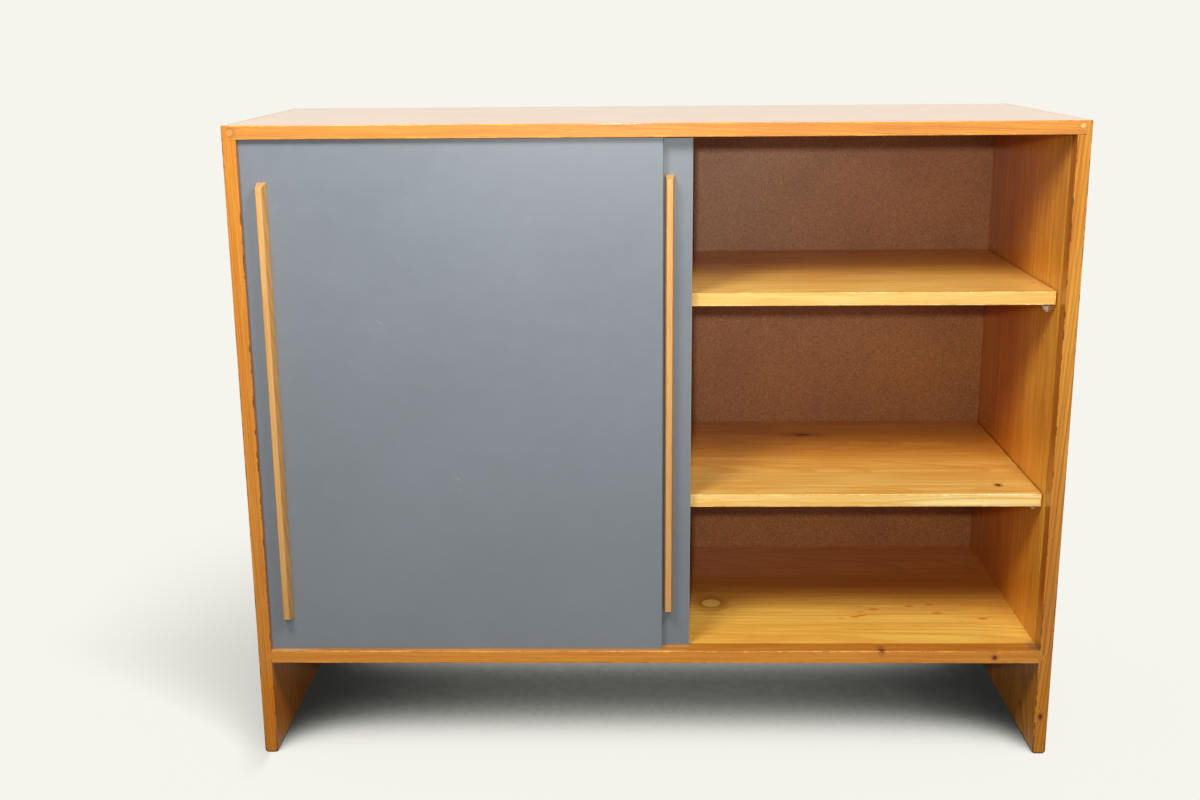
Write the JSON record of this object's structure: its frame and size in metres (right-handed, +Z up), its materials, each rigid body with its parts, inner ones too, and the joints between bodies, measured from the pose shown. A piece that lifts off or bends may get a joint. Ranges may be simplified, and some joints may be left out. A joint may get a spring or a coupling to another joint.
{
  "type": "side cabinet",
  "caption": "Low free-standing wooden cabinet on slab sides, with two overlapping sliding doors in grooves, slim bar handles, a centre partition and loose shelves.",
  "frame": {"origin": "on the floor, under the middle of the whole box with the doors' handles", "axes": "+X along the width to the right, seen from the doors; +Y from the doors to the back; +Z up"},
  "size_m": [1.1, 0.43, 0.875],
  "materials": {
    "varnished_pine": "clear varnish, worn at the front edges",
    "shelf_pine": "clear satin varnish",
    "hardboard": "bare, smooth side in",
    "painted_plywood": "grey satin paint",
    "handle_wood": "clear satin varnish",
    "support_plastic": "moulded, ivory",
    "steel": "plain zinc"
  },
  "bodies": {
    "carcass": {"left_side_panel": "varnished_pine", "right_side_panel": "varnished_pine", "top_panel": "varnished_pine", "bottom_panel": "varnished_pine", "centre_partition": "varnished_pine", "back_panel": "hardboard", "back_panel_nails": "steel", "left_upper_shelf": "shelf_pine", "left_lower_shelf": "shelf_pine", "right_upper_shelf": "shelf_pine", "right_lower_shelf": "shelf_pine", "left_upper_shelf_supports": "support_plastic", "left_lower_shelf_supports": "support_plastic", "right_upper_shelf_supports": "support_plastic", "right_lower_shelf_supports": "support_plastic"},
    "front_door": {"front_door_panel": "painted_plywood", "front_door_handle": "handle_wood", "front_handle_screws": "steel"},
    "rear_door": {"rear_door_panel": "painted_plywood", "rear_door_handle": "handle_wood", "rear_handle_screws": "steel"}
  },
  "joints": [
    {"name": "front_door_slide", "type": "slide", "parent": "carcass", "child": "front_door", "axis": [1, 0, 0], "range_m": [0, 0.0015]},
    {"name": "rear_door_slide", "type": "slide", "parent": "carcass", "child": "rear_door", "axis": [1, 0, 0], "range_m": [0, 0.4845]}
  ]
}
